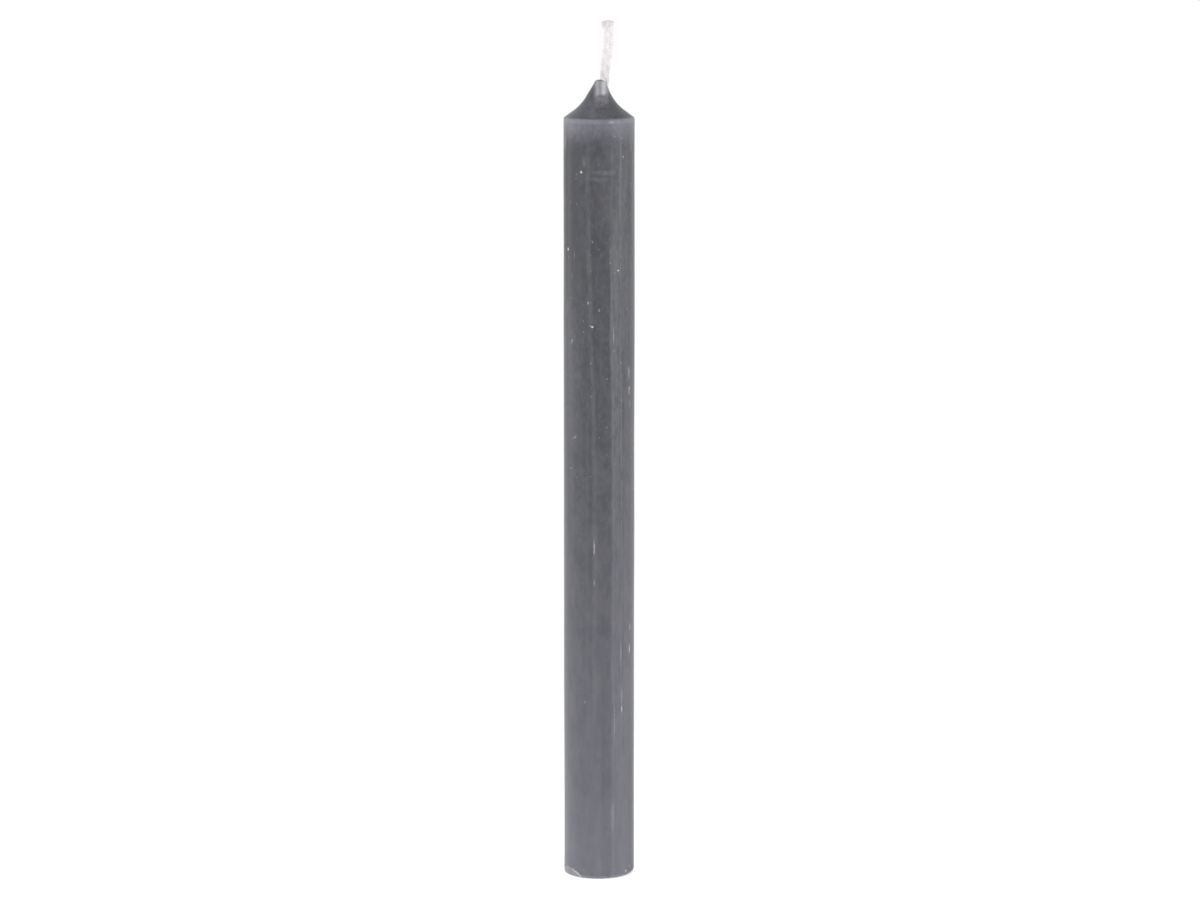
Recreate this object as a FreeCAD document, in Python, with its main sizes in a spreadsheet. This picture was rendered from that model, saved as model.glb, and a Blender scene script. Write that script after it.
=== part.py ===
import FreeCAD, Part
import math
import os

import Sketcher
from FreeCAD import Placement, Rotation, Vector

# Dinner candle: one straight stick of dyed wax with a flared, pointed tip, drawn round a flat braided
# cotton wick. Millimetres, +Z up. The origin is the centre of the flat base, and the candle stands on
# Z = 0. The wick leans towards +X where it leaves the tip. A shallow flake is missing from the base's
# edge, on the -X side towards -Y.

SIZES = {
    # Wax stick
    "candle_diameter": 22.0,
    "wax_height": 250.0,
    "base_round": 0.8,
    "shoulder_round": 0.6,
    # Flare between the shoulder and the neck: two straight flanks and the hollow curve that joins them
    "shoulder_slope": 36.5,
    "tip_slope": 59.5,
    "flare_radius": 14.0,
    "tip_flank": 0.8,
    # Tip: rings of wax drawn up round the wick. Drops are counted down from the top of the wax
    "neck_drop": 4.5,
    "neck_radius": 3.66,
    "throat_drop": 2.9,
    "throat_radius": 2.76,
    "lip_drop": 0.8,
    "lip_radius": 1.83,
    "tip_radius": 1.25,
    "tip_lean": 0.36,
    "tip_round": 0.3,
    # Flake off the base's edge: a conical facet on an axis set back behind the candle's own
    "flake_azimuth": 210.0,
    "flake_depth": 0.35,
    "flake_height": 3.4,
    "flake_radius": 13.0,
    # Wick: a flat braid, its size across and its route. Leans are counted from the candle's axis
    "wick_width": 3.3,
    "wick_depth": 2.0,
    "wick_length": 18.2,
    "wick_bend_drop": 16.0,
    "wick_bend_radius": 60.0,
    "wick_bow_rise": 13.5,
    "wick_bow_lean": 3.1,
    "wick_bow_radius": 26.0,
    "wick_end_lean": 2.75,
    # Trimmed end of the wick, where the strands spread
    "splay_length": 1.8,
    "splay_width": 4.1,
    "splay_shift": 0.3,
}

RADIUS = "Sizes.candle_diameter / 2"
WICK_END_TILT = (
    "atan((Sizes.wick_bow_lean - Sizes.wick_end_lean) / (Sizes.wick_length - Sizes.wick_bow_rise))"
)

# The flake's cutting shape runs past the facet by this share of it, so that it leaves no skin
OVERCUT = 0.5

# Two heights or radii this close, in millimetres, are the same
SAME = 0.001

doc = FreeCAD.newDocument("dinner_candle")


def make_sheet():
    sheet = doc.addObject("Spreadsheet::Sheet", "Sizes")
    for row, (name, value) in enumerate(SIZES.items(), start=1):
        sheet.set(f"A{row}", name)
        sheet.set(f"B{row}", str(value))
        sheet.setAlias(f"B{row}", name)
    doc.recompute()
    return sheet


def new_body(label):
    body = doc.addObject("PartDesign::Body", label)
    body.Label = label
    body.Placement = Placement()
    return body


def new_sketch(body, name, role):
    """A sketch on one of the body's own origin planes."""
    plane = next(feature for feature in body.Origin.OriginFeatures if feature.Role == role)
    sketch = body.newObject("Sketcher::SketchObject", name)
    sketch.AttachmentSupport = [(plane, "")]
    sketch.MapMode = "FlatFace"
    return sketch


def shift_sketch(sketch, **offsets):
    for axis, expression in offsets.items():
        sketch.setExpression(f".AttachmentOffset.Base.{axis}", expression)


def turn_sketch(sketch, axis, expression):
    sketch.AttachmentOffset = Placement(Vector(), Rotation(axis, 1.0))
    sketch.setExpression(".AttachmentOffset.Rotation.Angle", expression)


def add_line(sketch, start, end, construction=False):
    return sketch.addGeometry(Part.LineSegment(Vector(*start), Vector(*end)), construction)


def add_arc(sketch, centre, radius, first, last):
    """Counter-clockwise arc between two angles in degrees: end 1 is at the first, end 2 at the last."""
    circle = Part.Circle(Vector(*centre), Vector(0, 0, 1), radius)
    return sketch.addGeometry(Part.ArcOfCircle(circle, math.radians(first), math.radians(last)))


def add_point(sketch, place):
    return sketch.addGeometry(Part.Point(Vector(*place)), True)


def constrain(sketch, kind, *where):
    return sketch.addConstraint(Sketcher.Constraint(kind, *where))


def dimension(sketch, kind, *where, value, tie):
    """A dimension that starts at the drawn value and is tied to the sheet by an expression."""
    index = constrain(sketch, kind, *where, value)
    sketch.setExpression(f"Constraints[{index}]", tie)


def locate(sketch, geometry, end, across=None, above=None):
    """Ties a point to its distances from the sketch's origin; a dimension left out stays free."""
    here = sketch.getPoint(geometry, end)
    if across is not None:
        dimension(sketch, "DistanceX", -1, 1, geometry, end, value=here.x, tie=across)
    if above is not None:
        dimension(sketch, "DistanceY", -1, 1, geometry, end, value=here.y, tie=above)


def polar(radius, degrees):
    return Vector(radius * math.cos(math.radians(degrees)), radius * math.sin(math.radians(degrees)))


def ring_edges(shape, height, radius):
    """Names of the level circular edges at a height with a radius."""
    names = []
    for number, edge in enumerate(shape.Edges, start=1):
        box = edge.BoundBox
        level = abs(box.ZMin - height) < SAME and abs(box.ZMax - height) < SAME
        if level and abs(box.XLength / 2 - radius) < SAME:
            names.append(f"Edge{number}")
    return names


def round_ring(body, name, height, radius, tie):
    base = body.Tip
    fillet = body.newObject("PartDesign::Fillet", name)
    fillet.Base = (base, ring_edges(base.Shape, height, radius))
    fillet.setExpression("Radius", tie)
    doc.recompute()


# Half outline of the stick: base, side, lower flank, hollow curve, upper flank and neck, with the base's
# edge and the shoulder rounded. The shoulder's height isn't set by itself: it is where the lower flank,
# coming down from the neck, meets the side.
def draw_stick_outline(sketch, sizes):
    radius = sizes.candle_diameter / 2
    neck = Vector(sizes.neck_radius, sizes.wax_height - sizes.neck_drop)
    curve_top = neck - polar(sizes.tip_flank, 180 - sizes.tip_slope)
    hollow = curve_top + polar(sizes.flare_radius, 90 - sizes.tip_slope)
    curve_foot = hollow + polar(sizes.flare_radius, 270 - sizes.shoulder_slope)
    flank_drop = (radius - curve_foot.x) * math.tan(math.radians(sizes.shoulder_slope))
    corner = Vector(radius, curve_foot.y - flank_drop)
    corner_reach = sizes.shoulder_round * math.tan(math.radians(45 - sizes.shoulder_slope / 2))
    side_top = corner - Vector(0, corner_reach)
    flank_foot = corner + polar(corner_reach, 180 - sizes.shoulder_slope)
    shoulder_centre = side_top - Vector(sizes.shoulder_round, 0)
    base_centre = Vector(radius - sizes.base_round, sizes.base_round)

    base = add_line(sketch, (0, 0), (base_centre.x, 0))
    base_arc = add_arc(sketch, base_centre, sizes.base_round, 270, 360)
    side = add_line(sketch, (radius, base_centre.y), side_top)
    shoulder_arc = add_arc(sketch, shoulder_centre, sizes.shoulder_round, 0, 90 - sizes.shoulder_slope)
    lower_flank = add_line(sketch, flank_foot, curve_foot)
    flare = add_arc(sketch, hollow, sizes.flare_radius, 270 - sizes.tip_slope, 270 - sizes.shoulder_slope)
    upper_flank = add_line(sketch, curve_top, neck)
    neck_line = add_line(sketch, neck, (0, neck.y))
    axis = add_line(sketch, (0, neck.y), (0, 0))

    constrain(sketch, "Coincident", base, 1, -1, 1)
    constrain(sketch, "Tangent", base, 2, base_arc, 1)
    constrain(sketch, "Tangent", base_arc, 2, side, 1)
    constrain(sketch, "Tangent", side, 2, shoulder_arc, 1)
    constrain(sketch, "Tangent", shoulder_arc, 2, lower_flank, 1)
    constrain(sketch, "Tangent", lower_flank, 2, flare, 2)
    constrain(sketch, "Tangent", flare, 1, upper_flank, 1)
    constrain(sketch, "Coincident", upper_flank, 2, neck_line, 1)
    constrain(sketch, "Coincident", neck_line, 2, axis, 1)
    constrain(sketch, "Coincident", axis, 2, base, 1)
    constrain(sketch, "Horizontal", base)
    constrain(sketch, "Vertical", side)
    constrain(sketch, "Horizontal", neck_line)
    constrain(sketch, "Vertical", axis)

    locate(sketch, side, 1, across=RADIUS)
    locate(sketch, neck_line, 1, across="Sizes.neck_radius", above="Sizes.wax_height - Sizes.neck_drop")
    dimension(sketch, "Angle", lower_flank, value=math.radians(180 - sizes.shoulder_slope),
              tie="180 - Sizes.shoulder_slope")
    dimension(sketch, "Angle", upper_flank, value=math.radians(180 - sizes.tip_slope),
              tie="180 - Sizes.tip_slope")
    dimension(sketch, "Distance", upper_flank, value=sizes.tip_flank, tie="Sizes.tip_flank")
    dimension(sketch, "Radius", flare, value=sizes.flare_radius, tie="Sizes.flare_radius")
    dimension(sketch, "Radius", shoulder_arc, value=sizes.shoulder_round, tie="Sizes.shoulder_round")
    dimension(sketch, "Radius", base_arc, value=sizes.base_round, tie="Sizes.base_round")


def draw_ring(body, name, drop, radius, lean=None):
    """A level circle round the wick, at a drop below the top of the wax."""
    sketch = new_sketch(body, name, "XY_Plane")
    shift_sketch(sketch, z=f"Sizes.wax_height - {drop}")
    circle = sketch.addGeometry(Part.Circle(Vector(), Vector(0, 0, 1), 1.0))
    if lean is None:
        constrain(sketch, "Coincident", circle, 3, -1, 1)
    else:
        constrain(sketch, "PointOnObject", circle, 3, -1)
        locate(sketch, circle, 3, across=lean)
    dimension(sketch, "Radius", circle, value=1.0, tie=radius)
    return sketch


# The flake leaves a facet of a cone, whose upright axis stands behind the candle's own, so that the facet
# is flatter than the side and runs out into it all round.
def cut_flake(body, sizes):
    radius = sizes.candle_diameter / 2
    run = sizes.flake_depth * OVERCUT
    rise = sizes.flake_height * OVERCUT
    setback = sizes.flake_radius - radius + sizes.flake_depth

    sketch = new_sketch(body, "flake_section", "XZ_Plane")
    turn_sketch(sketch, Vector(0, 1, 0), "Sizes.flake_azimuth")
    low = (radius - sizes.flake_depth - run, -rise)
    high = (radius + run, sizes.flake_height + rise)
    corner = (high[0], low[1])
    facet = add_line(sketch, low, high)
    outside = add_line(sketch, high, corner)
    floor = add_line(sketch, corner, low)
    axis = add_line(sketch, (-setback, 0), (-setback, sizes.flake_height), construction=True)

    constrain(sketch, "Coincident", facet, 2, outside, 1)
    constrain(sketch, "Coincident", outside, 2, floor, 1)
    constrain(sketch, "Coincident", floor, 2, facet, 1)
    constrain(sketch, "Vertical", outside)
    constrain(sketch, "Horizontal", floor)
    constrain(sketch, "Vertical", axis)
    constrain(sketch, "PointOnObject", axis, 1, -1)
    locate(sketch, outside, 1, across=f"{RADIUS} + {OVERCUT} * Sizes.flake_depth",
           above=f"(1 + {OVERCUT}) * Sizes.flake_height")
    dimension(sketch, "DistanceX", facet, 1, facet, 2, value=high[0] - low[0],
              tie=f"(1 + 2 * {OVERCUT}) * Sizes.flake_depth")
    dimension(sketch, "DistanceY", facet, 1, facet, 2, value=high[1] - low[1],
              tie=f"(1 + 2 * {OVERCUT}) * Sizes.flake_height")
    dimension(sketch, "DistanceX", axis, 1, -1, 1, value=setback,
              tie=f"Sizes.flake_radius - {RADIUS} + Sizes.flake_depth")
    dimension(sketch, "DistanceY", axis, value=sizes.flake_height, tie="Sizes.flake_height")
    doc.recompute()

    whole = body.Shape.Volume
    groove = body.newObject("PartDesign::Groove", "flake")
    groove.Profile = sketch
    groove.ReferenceAxis = (sketch, ["Axis0"])
    groove.Midplane = True
    groove.Angle = 180
    doc.recompute()
    if not 0 < whole - body.Shape.Volume < whole / 100:
        raise RuntimeError("the flake cuts nothing, or too much")


def build_wax_blank(sizes):
    body = new_body("wax_blank")

    outline = new_sketch(body, "stick_outline", "XZ_Plane")
    draw_stick_outline(outline, sizes)
    stick = body.newObject("PartDesign::Revolution", "stick")
    stick.Profile = outline
    stick.ReferenceAxis = (outline, ["V_Axis"])
    stick.Angle = 360
    doc.recompute()

    rings = [
        draw_ring(body, "neck_ring", "Sizes.neck_drop", "Sizes.neck_radius"),
        draw_ring(body, "throat_ring", "Sizes.throat_drop", "Sizes.throat_radius"),
        draw_ring(body, "lip_ring", "Sizes.lip_drop", "Sizes.lip_radius", lean="Sizes.tip_lean"),
        draw_ring(body, "tip_ring", "0", "Sizes.tip_radius", lean="Sizes.tip_lean"),
    ]
    tip = body.newObject("PartDesign::AdditiveLoft", "tip")
    tip.Profile = rings[0]
    tip.Sections = rings[1:]
    doc.recompute()

    round_ring(body, "tip_rounding", sizes.wax_height, sizes.tip_radius, "Sizes.tip_round")
    cut_flake(body, sizes)
    return body


def draw_braid_section(sketch, width, depth, wide, deep):
    """Cross-section of the flat braid: a slot with half-round edges, centred on the sketch's origin."""
    reach = (width - depth) / 2
    right = add_arc(sketch, (reach, 0), depth / 2, -90, 90)
    back = add_line(sketch, (reach, depth / 2), (-reach, depth / 2))
    left = add_arc(sketch, (-reach, 0), depth / 2, 90, 270)
    front = add_line(sketch, (-reach, -depth / 2), (reach, -depth / 2))
    constrain(sketch, "Tangent", right, 2, back, 1)
    constrain(sketch, "Tangent", back, 2, left, 1)
    constrain(sketch, "Tangent", left, 2, front, 1)
    constrain(sketch, "Tangent", front, 2, right, 1)
    constrain(sketch, "Equal", left, right)
    constrain(sketch, "Symmetric", left, 3, right, 3, -1, 1)
    constrain(sketch, "PointOnObject", right, 3, -1)
    dimension(sketch, "DistanceX", left, 3, right, 3, value=2 * reach, tie=f"{wide} - {deep}")
    dimension(sketch, "Radius", right, value=depth / 2, tie=f"{deep} / 2")


# Route of the wick: up the axis, a long bend inside the tip, a straight lean out of the wax, a bow back
# towards the axis and a short straight to where the strands spread. The straights aim at the two corners
# that the bends round.
def draw_wick_route(sketch, sizes):
    bend = Vector(0, sizes.wax_height - sizes.wick_bend_drop)
    bow = Vector(sizes.wick_bow_lean, sizes.wax_height + sizes.wick_bow_rise)
    end = Vector(sizes.wick_end_lean, sizes.wax_height + sizes.wick_length)
    lean = math.degrees(math.atan2(bow.x - bend.x, bow.y - bend.y))
    tilt = math.degrees(math.atan2(bow.x - end.x, end.y - bow.y))
    bend_reach = sizes.wick_bend_radius * math.tan(math.radians(lean / 2))
    bow_reach = sizes.wick_bow_radius * math.tan(math.radians((lean + tilt) / 2))

    bend_foot = bend - polar(bend_reach, 90)
    bend_top = bend + polar(bend_reach, 90 - lean)
    bow_foot = bow - polar(bow_reach, 90 - lean)
    bow_top = bow + polar(bow_reach, 90 + tilt)
    splay_foot = end - polar(sizes.splay_length, 90 + tilt)

    rise = add_line(sketch, (0, 0), bend_foot)
    bend_arc = add_arc(sketch, bend_foot + polar(sizes.wick_bend_radius, 0), sizes.wick_bend_radius,
                       180 - lean, 180)
    reach = add_line(sketch, bend_top, bow_foot)
    bow_arc = add_arc(sketch, bow_top - polar(sizes.wick_bow_radius, tilt), sizes.wick_bow_radius,
                      -lean, tilt)
    stub = add_line(sketch, bow_top, splay_foot)
    bend_corner = add_point(sketch, bend)
    bow_corner = add_point(sketch, bow)
    end_point = add_point(sketch, end)

    constrain(sketch, "Coincident", rise, 1, -1, 1)
    constrain(sketch, "Vertical", rise)
    constrain(sketch, "Tangent", rise, 2, bend_arc, 2)
    constrain(sketch, "Tangent", bend_arc, 1, reach, 1)
    constrain(sketch, "Tangent", reach, 2, bow_arc, 1)
    constrain(sketch, "Tangent", bow_arc, 2, stub, 1)
    constrain(sketch, "PointOnObject", bend_corner, 1, rise)
    constrain(sketch, "PointOnObject", bend_corner, 1, reach)
    constrain(sketch, "PointOnObject", bow_corner, 1, reach)
    constrain(sketch, "PointOnObject", bow_corner, 1, stub)
    constrain(sketch, "PointOnObject", end_point, 1, stub)

    locate(sketch, bend_corner, 1, above="Sizes.wax_height - Sizes.wick_bend_drop")
    locate(sketch, bow_corner, 1, across="Sizes.wick_bow_lean",
           above="Sizes.wax_height + Sizes.wick_bow_rise")
    locate(sketch, end_point, 1, across="Sizes.wick_end_lean",
           above="Sizes.wax_height + Sizes.wick_length")
    dimension(sketch, "Radius", bend_arc, value=sizes.wick_bend_radius, tie="Sizes.wick_bend_radius")
    dimension(sketch, "Radius", bow_arc, value=sizes.wick_bow_radius, tie="Sizes.wick_bow_radius")
    dimension(sketch, "Distance", stub, 2, end_point, 1, value=sizes.splay_length, tie="Sizes.splay_length")


def draw_end_section(body, name, sizes, width, wide, across, back):
    """A section square to the last straight of the route, at a distance back from its end."""
    sketch = new_sketch(body, name, "XY_Plane")
    turn_sketch(sketch, Vector(0, -1, 0), WICK_END_TILT)
    cosine = f"cos({WICK_END_TILT})"
    sine = f"sin({WICK_END_TILT})"
    shift_sketch(
        sketch,
        x=f"Sizes.wick_end_lean - {across} * {cosine} + {back} * {sine}",
        z=f"Sizes.wax_height + Sizes.wick_length - {across} * {sine} - {back} * {cosine}",
    )
    draw_braid_section(sketch, width, sizes.wick_depth, wide, "Sizes.wick_depth")
    return sketch


def build_wick(sizes):
    body = new_body("wick")
    section = new_sketch(body, "braid_section", "XY_Plane")
    draw_braid_section(section, sizes.wick_width, sizes.wick_depth, "Sizes.wick_width", "Sizes.wick_depth")
    route = new_sketch(body, "wick_route", "XZ_Plane")
    draw_wick_route(route, sizes)
    doc.recompute()
    braid = body.newObject("PartDesign::AdditivePipe", "braid")
    braid.Profile = section
    braid.Spine = (route, [])
    doc.recompute()

    foot = draw_end_section(body, "splay_foot", sizes, sizes.wick_width, "Sizes.wick_width", "0",
                            "Sizes.splay_length")
    end = draw_end_section(body, "splay_end", sizes, sizes.splay_width, "Sizes.splay_width",
                           "Sizes.splay_shift", "0")
    splay = body.newObject("PartDesign::AdditiveLoft", "splay")
    splay.Profile = foot
    splay.Sections = [end]
    splay.Ruled = True
    doc.recompute()
    return body


def check_document():
    for item in doc.Objects:
        failed = {"Invalid", "Error"} & set(item.State)
        if failed:
            raise RuntimeError(f"{item.Label} is {sorted(failed)}")


def write_node(item):
    if item.Shape.isNull() or not item.Shape.isValid():
        raise RuntimeError(f"{item.Label} has no valid shape")
    if len(item.Shape.Solids) != 1:
        raise RuntimeError(f"{item.Label} is {len(item.Shape.Solids)} solids")
    item.Shape.exportStep(f"parts/{item.Label}.step")
    print(item.Label, "volume", round(item.Shape.Volume, 1), "mm3")


sizes = make_sheet()
wax_blank = build_wax_blank(sizes)
wick = build_wick(sizes)

# The wax sets round the wick, so the channel through the stick has the wick's own form
wax_body = doc.addObject("Part::Cut", "wax_body")
wax_body.Label = "wax_body"
wax_body.Base = wax_blank
wax_body.Tool = wick
doc.recompute()

check_document()
os.makedirs("parts", exist_ok=True)
for node in (wax_body, wick):
    write_node(node)
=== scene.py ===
import math
import random

import bmesh
import bpy
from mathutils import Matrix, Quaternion, Vector, geometry, noise


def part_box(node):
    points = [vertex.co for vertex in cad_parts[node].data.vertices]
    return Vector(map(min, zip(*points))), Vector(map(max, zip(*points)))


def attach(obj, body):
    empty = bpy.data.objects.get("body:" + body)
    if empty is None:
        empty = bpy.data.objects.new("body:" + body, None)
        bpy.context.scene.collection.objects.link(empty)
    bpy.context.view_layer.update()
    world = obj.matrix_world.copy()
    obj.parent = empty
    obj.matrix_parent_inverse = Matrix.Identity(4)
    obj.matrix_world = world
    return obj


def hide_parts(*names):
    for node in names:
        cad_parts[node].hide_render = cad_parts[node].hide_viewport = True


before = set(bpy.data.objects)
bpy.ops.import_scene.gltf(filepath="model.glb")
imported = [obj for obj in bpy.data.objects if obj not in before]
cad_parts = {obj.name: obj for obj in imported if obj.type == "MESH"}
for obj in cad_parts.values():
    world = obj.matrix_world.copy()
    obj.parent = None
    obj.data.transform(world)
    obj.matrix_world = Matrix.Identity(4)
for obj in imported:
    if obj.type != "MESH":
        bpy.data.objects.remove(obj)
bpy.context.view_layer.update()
noise.seed_set(3)  # without a seed, the vector noise differs in each run

# Dinner candle: a stick of dark grey dyed wax with a flared, pointed tip, drawn round a flat braided cotton
# wick. Shapes are worked out in millimetres and scaled to metres at the end, about the frame's own origin,
# the centre of the base. The wick leans towards +X and the photograph looks along +Y.

MM = 0.001
wax_low, wax_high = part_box("wax_body")
wick_low, wick_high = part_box("wick")

STICK_RADIUS = (wax_high[0] - wax_low[0]) / 2 / MM
WAX_TOP = wax_high[2] / MM
WICK_TOP = wick_high[2] / MM

# Stick outline
BASE_ROUND = 0.8
SHOULDER_ROUND = 0.6
SHOULDER_SLOPE = 36.5
TIP_SLOPE = 59.5
FLARE_RADIUS = 14.0
TIP_FLANK = 0.8
NECK_RADIUS = 3.66
NECK_DROP = 4.5
LIP_RADIUS = 1.83
LIP_DROP = 0.8
LIP_SLOPE = 64.0
CROWN_RADIUS = 0.75
TIP_LEAN = 0.36
SIDES = 360

# Ribs over the wick's strands: how far right of the axis, half width, and share of the full height
RIBS = [
    (-0.65, 0.42, 1.0),
    (1.2, 0.55, 0.9),
]
RIB_HEIGHT = 0.16
SWAY = 0.09

# Flake off the base's edge, on the left of the photograph
FLAKE_AZIMUTH = 210.0
FLAKE_DEPTH = 0.35
FLAKE_HEIGHT = 3.4
FLAKE_RADIUS = 13.0

# Wick: the corners that its centre line bends round, across and above the base
WICK_ROUTE = [
    (0.0, 0.0),
    (0.0, 215.0),
    (0.0, 234.0),
    (1.55, 247.0),
    (1.74, 252.5),
    (2.42, 258.0),
    (2.9, 262.0),
    (3.0, 265.6),
    (2.72, 268.4),
]
WICK_DEPTH = 2.0
PLAIT_START = 240.0
PLAIT_PITCH = 10.8
PLAIT_WIDTH = 3.4
STRAND_WIDTH = 1.85
STRAND_DEPTH = 1.15
OUTER_YARNS = 11
INNER_YARNS = 3
YARN_RADIUS = 0.235
YARN_STEP = 0.3
TWIST_PITCH = 22.0
LOOSENESS = 0.08
SPREAD_START = 2.9
SPREAD_FULL = 1.3
SPREAD_SHIFT = 0.62
TUFT_FIBRES = 14
FUZZ_FIBRES = 380
CORE_OFFSETS = (-1.15, -0.69, -0.23, 0.23, 0.69, 1.15)
CORE_RADIUS = 0.40
CORE_DROP = 0.45


def to_linear(hex_colour):
    """A colour written as sRGB hex, as the linear RGBA that a shader's socket takes."""
    channels = [int(hex_colour[i:i + 2], 16) / 255 for i in (1, 3, 5)]
    return [c / 12.92 if c <= 0.04045 else ((c + 0.055) / 1.055) ** 2.4 for c in channels] + [1.0]


def smooth_step(low, high, value):
    t = min(max((value - low) / (high - low), 0.0), 1.0)
    return t * t * (3 - 2 * t)


def finish_piece(name, bm, material):
    """Scales a mesh made in millimetres to metres and makes it an object at the origin."""
    bmesh.ops.scale(bm, vec=(MM, MM, MM), verts=bm.verts)
    for face in bm.faces:
        face.smooth = True
    mesh = bpy.data.meshes.new(name)
    bm.to_mesh(mesh)
    bm.free()
    mesh.materials.append(material)
    piece = bpy.data.objects.new(name, mesh)
    bpy.context.scene.collection.objects.link(piece)
    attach(piece, "root")
    return piece


# Shader helpers
def add(tree, kind, settings=None, inputs=None):
    """Adds a node with its settings, its socket values and its links."""
    node = tree.nodes.new(kind)
    for name, value in (settings or {}).items():
        setattr(node, name, value)
    for key, value in (inputs or {}).items():
        if isinstance(value, bpy.types.NodeSocket):
            tree.links.new(value, node.inputs[key])
        else:
            node.inputs[key].default_value = value
    return node


def maths(tree, operation, first, second=0.0, third=0.0):
    return add(tree, "ShaderNodeMath", {"operation": operation}, {0: first, 1: second, 2: third}).outputs[0]


def vector_maths(tree, operation, first, second=(0, 0, 0), third=(0, 0, 0)):
    inputs = {0: first, 1: second, 2: third}
    return add(tree, "ShaderNodeVectorMath", {"operation": operation}, inputs).outputs[0]


def fade(tree, value, start, end, low=0.0, high=1.0):
    """A smooth ramp from low to high as value goes from start to end."""
    settings = {"interpolation_type": "SMOOTHSTEP"}
    inputs = {"Value": value, "From Min": start, "From Max": end, "To Min": low, "To Max": high}
    return add(tree, "ShaderNodeMapRange", settings, inputs).outputs["Result"]


def between(tree, value, start, full, last, end):
    """A smooth hill that rises from start to full and falls from last to end."""
    return maths(tree, "MULTIPLY", fade(tree, value, start, full), fade(tree, value, end, last))


def apart(tree, value, centre):
    """How far a value is from a centre, on either side."""
    return maths(tree, "ABSOLUTE", maths(tree, "SUBTRACT", value, centre))


def scaled(tree, *factors):
    """The product of all its factors."""
    total = factors[0]
    for factor in factors[1:]:
        total = maths(tree, "MULTIPLY", total, factor)
    return total


def blend(tree, factor, first, second):
    return add(tree, "ShaderNodeMix", {"data_type": "RGBA"}, {0: factor, 6: first, 7: second}).outputs[2]


def stretched_noise(tree, place, stretch, scale, detail=2.0, roughness=0.5):
    """Noise over the surface in millimetres, drawn out along the axes by the stretch given."""
    drawn = vector_maths(tree, "MULTIPLY", place, stretch)
    inputs = {"Vector": drawn, "Scale": scale, "Detail": detail, "Roughness": roughness}
    return add(tree, "ShaderNodeTexNoise", {"noise_dimensions": "3D"}, inputs).outputs["Fac"]


def new_material(name):
    material = bpy.data.materials.new(name)
    material.use_nodes = True
    tree = material.node_tree
    tree.nodes.clear()
    output = add(tree, "ShaderNodeOutputMaterial")
    return material, tree, output


def place_in_mm(tree):
    inputs = {0: add(tree, "ShaderNodeTexCoord").outputs["Object"], "Scale": 1 / MM}
    return add(tree, "ShaderNodeVectorMath", {"operation": "SCALE"}, inputs).outputs[0]


# Nicks and rubbed specks, which are white where the dyed skin is broken, and two painted highlights low on
# the base's right: azimuth from the front in degrees, positive to the right, height in mm, how far each
# reaches from its middle across and along in mm, and strength. Those past 80 degrees are guessed.
NICKS_AND_HIGHLIGHTS = [
    (-30, 222.4, 0.40, 0.50, 0.95),
    (-60, 198.2, 0.34, 0.75, 0.95),
    (-58, 196.0, 0.22, 0.60, 0.30),
    (32, 192.0, 0.42, 0.32, 0.80),
    (42, 227.0, 0.32, 0.32, 0.45),
    (-11, 174.7, 0.46, 0.40, 1.00),
    (-15, 174.9, 0.35, 0.40, 0.35),
    (-49, 170.0, 0.35, 0.40, 0.50),
    (0, 179.7, 0.40, 0.45, 0.30),
    (-18, 182.1, 0.45, 0.70, 0.30),
    (58, 155.0, 0.32, 0.80, 0.60),
    (57, 160.5, 0.30, 1.20, 0.35),
    (-11, 201.0, 0.32, 0.40, 0.30),
    (18, 194.5, 0.30, 0.35, 0.25),
    (-42, 140.0, 0.60, 0.35, 0.28),
    (-8, 105.5, 0.30, 3.20, 0.42),
    (-8, 94.5, 0.26, 1.60, 0.26),
    (59, 72.6, 0.34, 2.20, 0.55),
    (61, 79.6, 0.30, 1.60, 0.42),
    (40, 54.0, 0.34, 1.50, 0.48),
    (-24, 56.5, 0.35, 0.40, 0.20),
    # These two are painted highlights on the base's worn right corner, not nicks
    (50, 1.7, 0.60, 0.70, 0.42),
    (60, 2.9, 0.34, 0.80, 0.25),
    (83, 138.0, 0.40, 0.60, 0.50),
    (98, 205.0, 0.38, 0.45, 0.70),
    (116, 62.0, 0.30, 0.90, 0.40),
    (131, 171.0, 0.42, 0.38, 0.80),
    (150, 118.0, 0.32, 0.50, 0.45),
    (172, 214.0, 0.36, 0.42, 0.70),
    (-168, 150.0, 0.45, 0.35, 0.90),
    (-150, 84.0, 0.26, 1.50, 0.35),
    (-133, 190.0, 0.36, 0.50, 0.60),
    (-118, 129.0, 0.34, 0.36, 0.50),
    (-96, 226.0, 0.36, 0.40, 0.55),
    (-84, 44.0, 0.30, 0.80, 0.35),
]

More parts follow.
